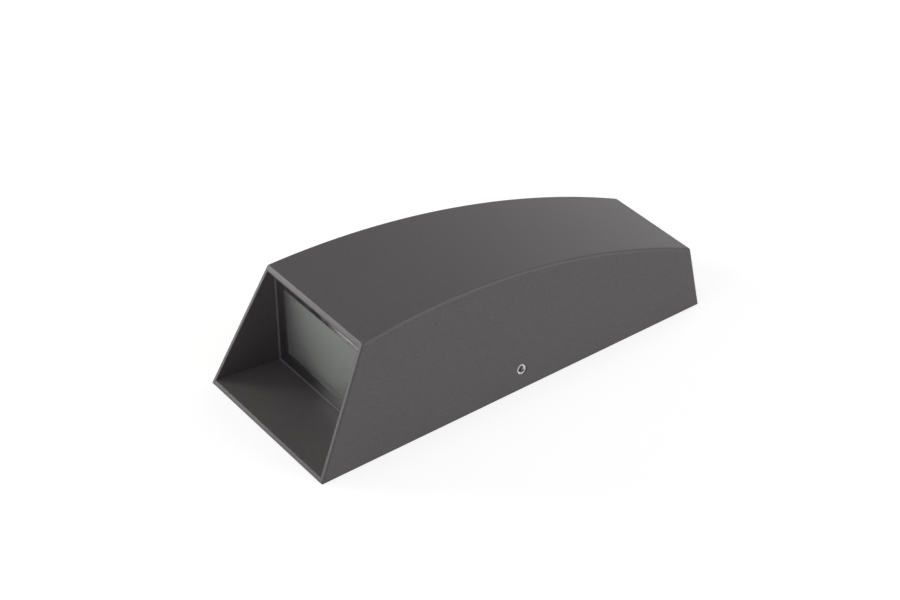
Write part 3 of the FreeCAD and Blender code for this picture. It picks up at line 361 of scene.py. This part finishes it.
def moulding_group():
    """Moulded plastic or rubber: an eroded tool's skin, with slow changes of tone and gloss."""
    tree, given, out = new_group("moulded_skin", {
        "Color": (0.5, 0.5, 0.5, 1.0), "Skin": 2500.0, "Dull": 0.5, "Edge": 0.0})
    place = place_on(tree)
    skin = noise(tree, place, given["Skin"], 2.0, 0.6)
    flow = noise(tree, place, MOULDED_FLOW, 2.0)
    tone = sum_of(tree, spread(tree, flow, 0.95, 1.04), times(tree, given["Edge"], 0.08))
    tree.links.new(lighten(tree, given["Color"], tone), out["Color"])
    tree.links.new(sum_of(tree, given["Dull"], spread(tree, skin, -0.05, 0.07)), out["Roughness"])
    tree.links.new(skin, out["Height"])
    return tree


EFFECTS = {"powder_grain": powder_group, "edge_mask": edge_group, "drawn_metal": metal_group,
           "moulded_skin": moulding_group}


def place_group(tree, name, values):
    """One of the shared effects, built the first time that it is asked for."""
    group = bpy.data.node_groups.get(name) or EFFECTS[name]()
    return add(tree, "Group", values, node_tree=group).outputs


# Materials


def opaque(tint):
    """A colour with nothing see-through."""
    return (*tint, 1.0)


def new_material(name, constants):
    """A material with one Principled BSDF, whose fixed values are given by socket name."""
    material = bpy.data.materials.new(name)
    material.use_nodes = True
    tree = material.node_tree
    shader = tree.nodes["Principled BSDF"]
    for key, value in constants.items():
        shader.inputs[key].default_value = value
    return material, tree, shader


def add_relief(tree, shader, height, strength, relief, soften=None):
    """Raises a surface by a pattern of a depth in metres, over edges that may be softened."""
    bump = add(tree, "Bump", {"Height": height, "Strength": strength, "Distance": relief})
    if soften:
        tree.links.new(rounded_normal(tree, soften), bump.inputs["Normal"])
    tree.links.new(bump.outputs[0], shader.inputs["Normal"])


def finish_surface(tree, shader, skin, relief, soften=None):
    """Feeds a shader from a group's colour, gloss and height."""
    tree.links.new(skin["Color"], shader.inputs["Base Color"])
    tree.links.new(skin["Roughness"], shader.inputs["Roughness"])
    add_relief(tree, shader, skin["Height"], 0.6, relief, soften)


def powder_material(finish):
    """The housing's powder coat."""
    material, tree, shader = new_material("powder_coat", {"IOR": 1.5})
    edge = place_group(tree, "edge_mask", {"Width": finish.edge})
    # the edge mask and how far each edge faces up drive the coat's painted edge highlight and shade
    skin = place_group(tree, "powder_grain", {
        "Color": opaque(finish.coat), "Grain": 1 / finish.grain, "Speckle": 1.1, "Mottle": 0.10,
        "Edge": edge["Edge"], "Upward": edge["Upward"]})
    finish_surface(tree, shader, skin, COAT_RELIEF, finish.edge)
    return material


def metal_material(name, tint, lines, dull, stretch=1.0, relief=METAL_RELIEF, metallic=1.0, painted_shade_reach=None):
    """Bare, plated or anodised metal; given a width, sockets up to that width darken inside with painted
    shade.
    """
    material, tree, shader = new_material(name, {"Metallic": metallic})
    edge = place_group(tree, "edge_mask", {"Width": METAL_EDGE})
    skin = place_group(tree, "drawn_metal", {
        "Color": opaque(tint), "Lines": lines, "Stretch": stretch, "Dull": dull, "Edge": edge["Edge"]})
    finish_surface(tree, shader, skin, relief)
    if painted_shade_reach:
        # painted shade: the colour darkens where walls close in round a point, as inside a screw's socket
        openness = add(tree, "AmbientOcclusion", {"Distance": painted_shade_reach}, samples=HOLLOW_SAMPLES).outputs["AO"]
        shade = between(tree, openness, HOLLOW_CLOSED, HOLLOW_OPEN, HOLLOW_PAINTED_SHADE, 1.0)
        tree.links.new(lighten(tree, skin["Color"], shade), shader.inputs["Base Color"])
    return material


def moulded_material(name, tint, dull, relief=MOULDED_RELIEF, constants=None):
    """Moulded plastic, rubber or silicone."""
    material, tree, shader = new_material(name, {"IOR": 1.5, **(constants or {})})
    edge = place_group(tree, "edge_mask", {"Width": MOULDED_EDGE})
    skin = place_group(tree, "moulded_skin", {"Color": opaque(tint), "Dull": dull, "Edge": edge["Edge"]})
    finish_surface(tree, shader, skin, relief, MOULDED_ROUNDING)
    return material


def glass_material(finish):
    """Acid-etched glass: a fine matte face that scatters what is behind it."""
    material, tree, shader = new_material("frosted_glass", {"IOR": 1.5, "Transmission Weight": 0.8})
    place = place_on(tree)
    pits = noise(tree, place, 1 / finish.frost, 2.0, 0.6)
    cloud = noise(tree, place, GLASS_CLOUDS, 2.0)
    tree.links.new(lighten(tree, opaque(finish.glass), spread(tree, cloud, 0.97, 1.03)),
                   shader.inputs["Base Color"])
    tree.links.new(spread(tree, pits, 0.34, 0.42), shader.inputs["Roughness"])
    add_relief(tree, shader, pits, 0.4, GLASS_RELIEF)
    return material


def foam_material(finish):
    """Closed-cell foam rubber, with its cells cut open on the surface."""
    material, tree, shader = new_material("foam_rubber", {"IOR": 1.45})
    place = place_on(tree)
    cells = add(tree, "TexVoronoi", {"Vector": place, "Scale": FOAM_CELLS}).outputs["Distance"]
    large = noise(tree, place, FOAM_CLOUDS, 3.0)
    tone = sum_of(tree, between(tree, cells, 0.1, 0.6, 0.7, 1.25), spread(tree, large, -0.08, 0.1))
    tree.links.new(lighten(tree, opaque(finish.foam), tone), shader.inputs["Base Color"])
    tree.links.new(between(tree, cells, 0.1, 0.6, 0.95, 0.8), shader.inputs["Roughness"])
    add_relief(tree, shader, cells, 0.8, FOAM_RELIEF)
    return material


def earth_material():
    """Earth insulation: green and yellow by turns."""
    material, tree, shader = new_material("insulation_earth", {"IOR": 1.5})
    wave = add(tree, "TexWave", {"Vector": place_on(tree), "Scale": EARTH_STRIPES, "Distortion": 0.0},
               bands_direction="Z").outputs[1]
    stripes = mix(tree, between(tree, wave, 0.48, 0.52), opaque(EARTH_GREEN), opaque(EARTH_YELLOW))
    skin = place_group(tree, "moulded_skin", {"Color": stripes, "Dull": 0.38})
    finish_surface(tree, shader, skin, SMOOTH_RELIEF)
    return material


# Shapes


def dress(material, *names):
    """Gives CAD nodes their material."""
    for name in names:
        for slot in frame["nodes"][name].material_slots:
            slot.material = material


def corners_of(node):
    """A node's lowest and highest corners."""
    low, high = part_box(node)
    return Vector(low), Vector(high)


def mesh_from(name, shape):
    """A mesh from a shape, with its faces turned outward."""
    mesh = bpy.data.meshes.new(name)
    bmesh.ops.recalc_face_normals(shape, faces=shape.faces)
    shape.to_mesh(mesh)
    shape.free()
    return mesh


def new_object(name, data):
    """A new object in the scene."""
    item = bpy.data.objects.new(name, data)
    bpy.context.scene.collection.objects.link(item)
    return item


def new_piece(name, shape, material, body):
    """A new piece from its shape, riding on a body, with its material."""
    mesh = mesh_from(name, shape)
    piece = new_object(name, mesh)
    mesh.materials.append(material)
    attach(piece, body)
    return piece


def turns_of(steps):
    """Angles once round, in equal steps."""
    return [2 * math.pi * step / steps for step in range(steps)]


def add_rings(shape, rings, closed=False):
    """Faces between rings of points, the first and last filled unless the rings close on themselves."""
    loops = [[shape.verts.new(point) for point in ring] for ring in rings]
    pairs = list(zip(loops, loops[1:]))
    if closed:
        pairs.append((loops[-1], loops[0]))
    for lower, upper in pairs:
        for first in range(len(lower)):
            second = (first + 1) % len(lower)
            shape.faces.new((lower[first], lower[second], upper[second], upper[first]))
    if not closed:
        shape.faces.new(loops[0])
        shape.faces.new(loops[-1])


def add_turned(shape, profile, centre, axis, steps=TURNED_STEPS, closed=False):
    """A turned form: profile gives radius and distance along the axis, from the centre."""
    along = Vector(axis).normalized()
    across = along.orthogonal().normalized()
    beside = along.cross(across)
    rings = []
    for radius, distance in profile:
        middle = Vector(centre) + along * distance
        rings.append([middle + (across * math.cos(turn) + beside * math.sin(turn)) * radius
                      for turn in turns_of(steps)])
    add_rings(shape, rings, closed)


def grub_screw_shape(node, inward, finish):
    """A threaded grub screw with a hexagon socket and a cup point, where its plain solid stands."""
    low, high = corners_of(node)
    inward = Vector(inward).normalized()
    level = Vector((0.0, 0.0, 1.0)).cross(inward).normalized()
    upward = inward.cross(level)
    face = (low + high) / 2 - inward * GRUB_LENGTH / 2
    turns = turns_of(GRUB_STEPS)

    def ring(radii, depth, cone=0.0):
        """Points at a depth below the face, less deep by cone for each metre from the axis."""
        return [face + inward * (depth - radius * cone)
                + (level * math.cos(turn) + upward * math.sin(turn)) * radius
                for turn, radius in zip(turns, radii)]

    def round_ring(radius, depth):
        return ring([radius] * GRUB_STEPS, depth)

    sixth = math.pi / 3
    hexagon = [SOCKET_FLATS / 2 / math.cos(turn % sixth - sixth / 2) for turn in turns]
    rings = [
        round_ring(DRILL_POINT, SOCKET_DEPTH + DRILL_POINT),
        ring([radius * SOCKET_LEDGE for radius in hexagon], SOCKET_DEPTH),
        ring(hexagon, SOCKET_DEPTH),
        ring(hexagon, SOCKET_MOUTH, cone=1.0),
        round_ring(SOCKET_MOUTH, 0.0),
        round_ring(GRUB_RADIUS - GRUB_CHAMFER, 0.0),
    ]
    count = round((GRUB_LENGTH - 2 * GRUB_CHAMFER) / finish.thread_pitch * THREAD_STEPS)
    for step in range(count + 1):
        depth = GRUB_CHAMFER + (GRUB_LENGTH - 2 * GRUB_CHAMFER) * step / count
        fade = min(1.0, step / THREAD_STEPS, (count - step) / THREAD_STEPS)
        radii = []
        for turn in turns:
            wave = abs((depth / finish.thread_pitch - turn / 2 / math.pi) % 1.0 - 0.5) * 2
            radii.append(GRUB_RADIUS - finish.thread_depth * fade * min(1.0, wave * FLANK))
        rings.append(ring(radii, depth))
    rings += [
        round_ring(GRUB_RADIUS - 2 * GRUB_CHAMFER, GRUB_LENGTH),
        round_ring(CUP_RADIUS, GRUB_LENGTH),
        round_ring(CUP_MIDDLE, GRUB_LENGTH - CUP_RADIUS / 2),
    ]
    shape = bmesh.new()
    add_rings(shape, rings)
    return shape


def emitter_shapes():
    """The emitters' frames, each with a round well, and the lenses in the wells."""
    low, high = corners_of("light_emitters")
    outer, inner = [], []
    for turn in turns_of(EMITTER_STEPS):
        turn += math.pi / EMITTER_STEPS
        side, rise = math.cos(turn), math.sin(turn)
        reach = EMITTER_SIZE / 2 / (side ** SQUARENESS + rise ** SQUARENESS) ** (1 / SQUARENESS)
        outer.append((reach * side, reach * rise))
        inner.append((EMITTER_WELL * side, EMITTER_WELL * rise))
    levels = ((outer, high.x, 1.0), (outer, low.x + RIM_EDGE, 1.0), (outer, low.x, RIM_SHARE),
              (inner, low.x, WELL_SHARE), (inner, low.x + WELL_EDGE, 1.0),
              (inner, high.x - WELL_FLOOR, FLOOR_SHARE))
    lens = [(EMITTER_WELL * share, distance) for share, distance in LENS]
    frames, lenses = bmesh.new(), bmesh.new()
    for row in range(EMITTER_ROWS):
        for column in range(EMITTER_COLUMNS):
            y = (low.y + EMITTER_SIZE / 2
                 + (high.y - low.y - EMITTER_SIZE) * column / (EMITTER_COLUMNS - 1))
            z = low.z + EMITTER_SIZE / 2 + (high.z - low.z - EMITTER_SIZE) * row / (EMITTER_ROWS - 1)
            add_rings(frames, [[Vector((x, y + a * share, z + b * share)) for a, b in outline]
                               for outline, x, share in levels])
            add_turned(lenses, lens, (high.x, y, z), (1.0, 0.0, 0.0))
    return frames, lenses


def solder_shape():
    """A mound of solder round the end of each light lead on the board."""
    low, high = corners_of("light_board")
    shape = bmesh.new()
    for side in (-1, 1):
        end = (high.x, side * LEAD_PAIR / 2, (low.z + high.z) / 2)
        add_turned(shape, SOLDER, end, (1.0, 0.0, 0.0), SOLDER_STEPS, closed=True)
    return shape


def lead_seal_shape():
    """A collar round each lead where it enters the driver."""
    low, high = corners_of("driver_case")
    shape = bmesh.new()
    for end, way in ((low.x + EAR_LENGTH, -1.0), (high.x - EAR_LENGTH, 1.0)):
        for side in (-1, 1):
            centre = (end, side * LEAD_PITCH / 2, high.z - DRIVER_HEIGHT / 2)
            add_turned(shape, LEAD_SEAL, centre, (way, 0.0, 0.0), closed=True)
    return shape


def sleeve_shape():
    """A sleeve in each mouth of the terminal block."""
    low, high = corners_of("terminal_block")
    shape = bmesh.new()
    for pole in (-1, 0, 1):
        for face, way in ((low.x, 1.0), (high.x, -1.0)):
            centre = (face, pole * TERMINAL_PITCH, (low.z + high.z) / 2)
            add_turned(shape, SLEEVE, centre, (way, 0.0, 0.0), closed=True)
    return shape


# Pieces


class LightOperator:
    """What the light's operators share"""
    bl_options = {"REGISTER", "UNDO"}

    @property
    def finish(self):
        """The settings of the finishes."""
        return bpy.context.scene.wall_light_finish


class WALLLIGHT_OT_housing(LightOperator, bpy.types.Operator):
    """Powder-coat the housing and anodise the window frame"""
    bl_idname = "wall_light.housing"
    bl_label = "Finish housing and frame"

    def execute(self, context):
        dress(powder_material(self.finish), "housing")
        dress(metal_material("anodised_frame", self.finish.frame_metal, lines=2200.0, dull=0.04,
                             relief=ANODISED_RELIEF, metallic=0.93), "glass_frame")
        return {"FINISHED"}


class WALLLIGHT_OT_window(LightOperator, bpy.types.Operator):
    """Glaze the window and finish its gasket and its bead of sealant"""
    bl_idname = "wall_light.window"
    bl_label = "Glaze window"

    def execute(self, context):
        dress(glass_material(self.finish), "window_glass")
        dress(moulded_material("silicone", self.finish.gasket, dull=0.55), "glass_gasket")
        dress(moulded_material("silicone_bead", self.finish.seal, dull=0.6, relief=SHINY_RELIEF,
                               constants={"Specular IOR Level": 0.2}), "frame_seal")
        return {"FINISHED"}


class WALLLIGHT_OT_screws(LightOperator, bpy.types.Operator):
    """Finish every screw and washer, and thread the grub screws"""
    bl_idname = "wall_light.screws"
    bl_label = "Finish screws"

    def execute(self, context):
        # the screw steel gets painted shade inside its sockets
        steel = metal_material("screw_steel", self.finish.steel, lines=2500.0, dull=0.26, stretch=0.6,
                               painted_shade_reach=HOLLOW_WIDTH)
        dress(steel, "grub_screw_right", "grub_screw_left", "frame_screws", "board_screws",
              "heat_plate_screws", "driver_screws", "terminal_mount_screw", "terminal_clamp_screws",
              "earth_screw", "earth_washer", "bracket_earth_screw", "bracket_earth_washer")
        joints = {joint["child"]: joint for joint in frame["record"]["behaviour"]["joints"]}
        for side in ("right", "left"):
            node, body = f"grub_screw_{side}", f"grub_{side}"
            shape = grub_screw_shape(node, joints[body]["axis"], self.finish)
            screw = new_piece(f"threaded_grub_screw_{side}", shape, steel, body)
            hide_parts(node)
        return {"FINISHED"}


class WALLLIGHT_OT_light_source(LightOperator, bpy.types.Operator):
    """Finish the reflector, the light board with its emitters and solder, and the heat plate"""
    bl_idname = "wall_light.light_source"
    bl_label = "Finish light source"

    def execute(self, context):
        finish = self.finish
        dress(moulded_material("white_moulding", finish.white, dull=0.35), "reflector")
        dress(moulded_material("board_mask", finish.board, dull=0.40, relief=SMOOTH_RELIEF), "light_board")
        phosphor = moulded_material("phosphor", finish.phosphor, dull=0.30, relief=SMOOTH_RELIEF)
        dress(phosphor, "light_emitters")
        frames, lenses = emitter_shapes()
        lens = new_piece("emitter_lenses", lenses, phosphor, "lamp")
        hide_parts("light_emitters")
        packages = moulded_material("emitter_package", finish.white, dull=0.42, relief=SHINY_RELIEF)
        new_piece("emitter_frames", frames, packages, "lamp")
        tin = metal_material("lead_solder", finish.tin, lines=1200.0, dull=0.22)
        new_piece("lead_solder", solder_shape(), tin, "lamp")
        dress(metal_material("bare_aluminium", finish.aluminium, lines=1800.0, dull=0.34), "heat_plate")
        return {"FINISHED"}


class WALLLIGHT_OT_driver(LightOperator, bpy.types.Operator):
    """Finish the driver's case and lid, and seal its leads"""
    bl_idname = "wall_light.driver"
    bl_label = "Finish driver"

    def execute(self, context):
        moulding = moulded_material("driver_moulding", self.finish.driver, dull=0.48)
        dress(moulding, "driver_case", "driver_lid")
        rubber = moulded_material("lead_seal", self.finish.rubber, dull=0.5, relief=SMOOTH_RELIEF)
        new_piece("driver_lead_seals", lead_seal_shape(), rubber, "lamp")
        return {"FINISHED"}


class WALLLIGHT_OT_wiring(LightOperator, bpy.types.Operator):
    """Finish the terminal block, the leads and the earth tag"""
    bl_idname = "wall_light.wiring"
    bl_label = "Finish wiring"

    def execute(self, context):
        finish = self.finish
        dress(moulded_material("terminal_moulding", finish.terminal, dull=0.42), "terminal_block")
        brass = metal_material("sleeve_brass", finish.brass, lines=1500.0, dull=0.28)
        new_piece("terminal_sleeves", sleeve_shape(), brass, "lamp")
        for node, tint in LEAD_TINTS.items():
            dress(moulded_material(f"insulation_{node}", tint, dull=0.38, relief=SMOOTH_RELIEF), node)
        dress(earth_material(), "earth_lead")
        dress(metal_material("tinned_brass", finish.tin, lines=1500.0, dull=0.32), "earth_tag")
        return {"FINISHED"}


class WALLLIGHT_OT_bracket(LightOperator, bpy.types.Operator):
    """Finish the bracket, its mat and its grommet"""
    bl_idname = "wall_light.bracket"
    bl_label = "Finish bracket"

    def execute(self, context):
        zinc = metal_material("zinc_steel", self.finish.zinc, lines=900.0, dull=0.50, stretch=0.5)
        dress(zinc, "wall_bracket")
        dress(foam_material(self.finish), "wall_mat")
        dress(moulded_material("black_rubber", self.finish.rubber, dull=0.6), "cable_grommet")
        return {"FINISHED"}


# Studio


def seen_ray(tree, mirrored=1.0):
    """1 for rays from the camera or through glass, mirrored for those that gloss sends, otherwise 0."""
    path = add(tree, "LightPath").outputs
    shown = larger(tree, path["Is Camera Ray"], path["Is Transmission Ray"])
    return larger(tree, shown, times(tree, path["Is Glossy Ray"], mirrored))


def floor_material(stage):
    """A matte floor that looks white, whiter still far off, and keeps the light's shadow."""
    material, tree, shader = new_material("studio_floor", {"Roughness": 0.9, "Specular IOR Level": 0.0})
    place = place_on(tree)
    tone = spread(tree, noise(tree, place, 3.0), 0.99, 1.01)
    seen = seen_ray(tree)
    tone = times(tree, tone, between(tree, seen, 0.0, 1.0, 1.0, FLOOR_SEEN))
    tree.links.new(lighten(tree, opaque(stage.floor), tone), shader.inputs["Base Color"])
    reach = add(tree, "VectorMath", {0: place}, operation="LENGTH").outputs["Value"]
    level = between(tree, reach, FLOOR_NEAR, FLOOR_FAR, FLOOR_GLOW, 1.0)
    glow = add(tree, "Emission", {"Strength": times(tree, seen, level)})
    both = add(tree, "AddShader", {0: shader.outputs[0], 1: glow.outputs[0]})
    tree.links.new(both.outputs[0], tree.nodes["Material Output"].inputs["Surface"])
    return material


def add_floor(stage):
    """The square floor, just under the light."""
    half = stage.floor_size / 2
    shape = bmesh.new()
    shape.faces.new([shape.verts.new((x, y, -FLOOR_GAP))
                     for x, y in ((-half, -half), (half, -half), (half, half), (-half, half))])
    mesh = mesh_from("studio_floor", shape)
    mesh.materials.append(floor_material(stage))
    floor = new_object("studio_floor", mesh)


def light_room(scene, stage):
    """Soft light from all round; the room looks white, but in gloss it is darker high up and on one side."""
    world = bpy.data.worlds.new("studio")
    scene.world = world
    world.use_nodes = True
    tree = world.node_tree
    sky = tree.nodes["Background"]
    way = add(tree, "TexCoord").outputs["Generated"]
    rise = add(tree, "SeparateXYZ", {0: way}).outputs["Z"]
    near = dot(tree, way, DARK_SIDE)
    mirrored = times(tree, between(tree, rise, ROOM_LOW, ROOM_HIGH, 1.0, ROOM_TOP),
                     between(tree, near, DARK_START, DARK_FULL, 1.0, 0.0))
    seen = seen_ray(tree, mirrored)
    tree.links.new(larger(tree, seen, stage.ambient), sky.inputs["Strength"])
    tree.links.new(mix(tree, seen, opaque(stage.shade), WHITE), sky.inputs["Color"])


def add_lamp(name, energy, size, location, tint):
    """A soft square lamp, aimed at the middle of the light."""
    lamp = bpy.data.lights.new(name, "AREA")
    lamp.energy, lamp.shape, lamp.size, lamp.color = energy, "SQUARE", size, tint
    item = new_object(name, lamp)
    item.location = location
    item.rotation_euler = (Vector(LAMP_TARGET) - item.location).to_track_quat("-Z", "Y").to_euler()


def add_camera(scene, stage):
    """The camera, at the photograph's angle."""
    camera = new_object("camera", bpy.data.cameras.new("camera"))
    back = Vector(CAMERA_BACK)
    turn = Matrix((Vector(CAMERA_RIGHT), Vector(CAMERA_UP), back)).transposed()
    place = Vector(CAMERA_TARGET) + back * stage.distance
    camera.matrix_world = Matrix.Translation(place) @ turn.to_4x4()
    camera.data.sensor_width = SENSOR_WIDTH
    camera.data.lens = FOCAL_PIXELS / PICTURE_WIDTH * SENSOR_WIDTH
    scene.camera = camera


class WALLLIGHT_OT_stage(bpy.types.Operator):
    """Set up the floor, the soft lamps and the camera"""
    bl_idname = "wall_light.stage"
    bl_label = "Set up studio"
    bl_options = {"REGISTER", "UNDO"}

    def execute(self, context):
        scene = context.scene
        stage = scene.wall_light_stage
        add_floor(stage)
        light_room(scene, stage)
        for name, (size, location, tint) in LAMPS.items():
            add_lamp(f"{name}_lamp", getattr(stage, name), size, location, tint)
        add_camera(scene, stage)
        scene.view_settings.view_transform = "Standard"
        return {"FINISHED"}


# Panel and registering


class WALLLIGHT_PT_light(bpy.types.Panel):
    """Lists the light's operators and settings"""
    bl_label = "Wall light"
    bl_space_type = "VIEW_3D"
    bl_region_type = "UI"
    bl_category = "Wall light"

    def draw(self, context):
        layout = self.layout
        for operator in OPERATORS:
            layout.operator(operator.bl_idname)
        for settings in (context.scene.wall_light_finish, context.scene.wall_light_stage):
            for name in settings.__annotations__:
                layout.prop(settings, name)


SETTINGS = (WALLLIGHT_PG_finish, WALLLIGHT_PG_stage)
OPERATORS = (WALLLIGHT_OT_housing, WALLLIGHT_OT_window, WALLLIGHT_OT_screws, WALLLIGHT_OT_light_source,
             WALLLIGHT_OT_driver, WALLLIGHT_OT_wiring, WALLLIGHT_OT_bracket, WALLLIGHT_OT_stage)


def register():
    """Registers the settings, the operators and the panel."""
    for item in (*SETTINGS, *OPERATORS, WALLLIGHT_PT_light):
        bpy.utils.register_class(item)
    bpy.types.Scene.wall_light_finish = PointerProperty(type=WALLLIGHT_PG_finish)
    bpy.types.Scene.wall_light_stage = PointerProperty(type=WALLLIGHT_PG_stage)


def unregister():
    """Takes away what register added."""
    del bpy.types.Scene.wall_light_stage
    del bpy.types.Scene.wall_light_finish
    for item in reversed((*SETTINGS, *OPERATORS, WALLLIGHT_PT_light)):
        bpy.utils.unregister_class(item)


def main():
    register()
    bpy.ops.wall_light.housing()
    bpy.ops.wall_light.window()
    bpy.ops.wall_light.screws()
    bpy.ops.wall_light.light_source()
    bpy.ops.wall_light.driver()
    bpy.ops.wall_light.wiring()
    bpy.ops.wall_light.bracket()
    bpy.ops.wall_light.stage()
    bpy.context.view_layer.update()


if __name__ == "__main__":
    main()
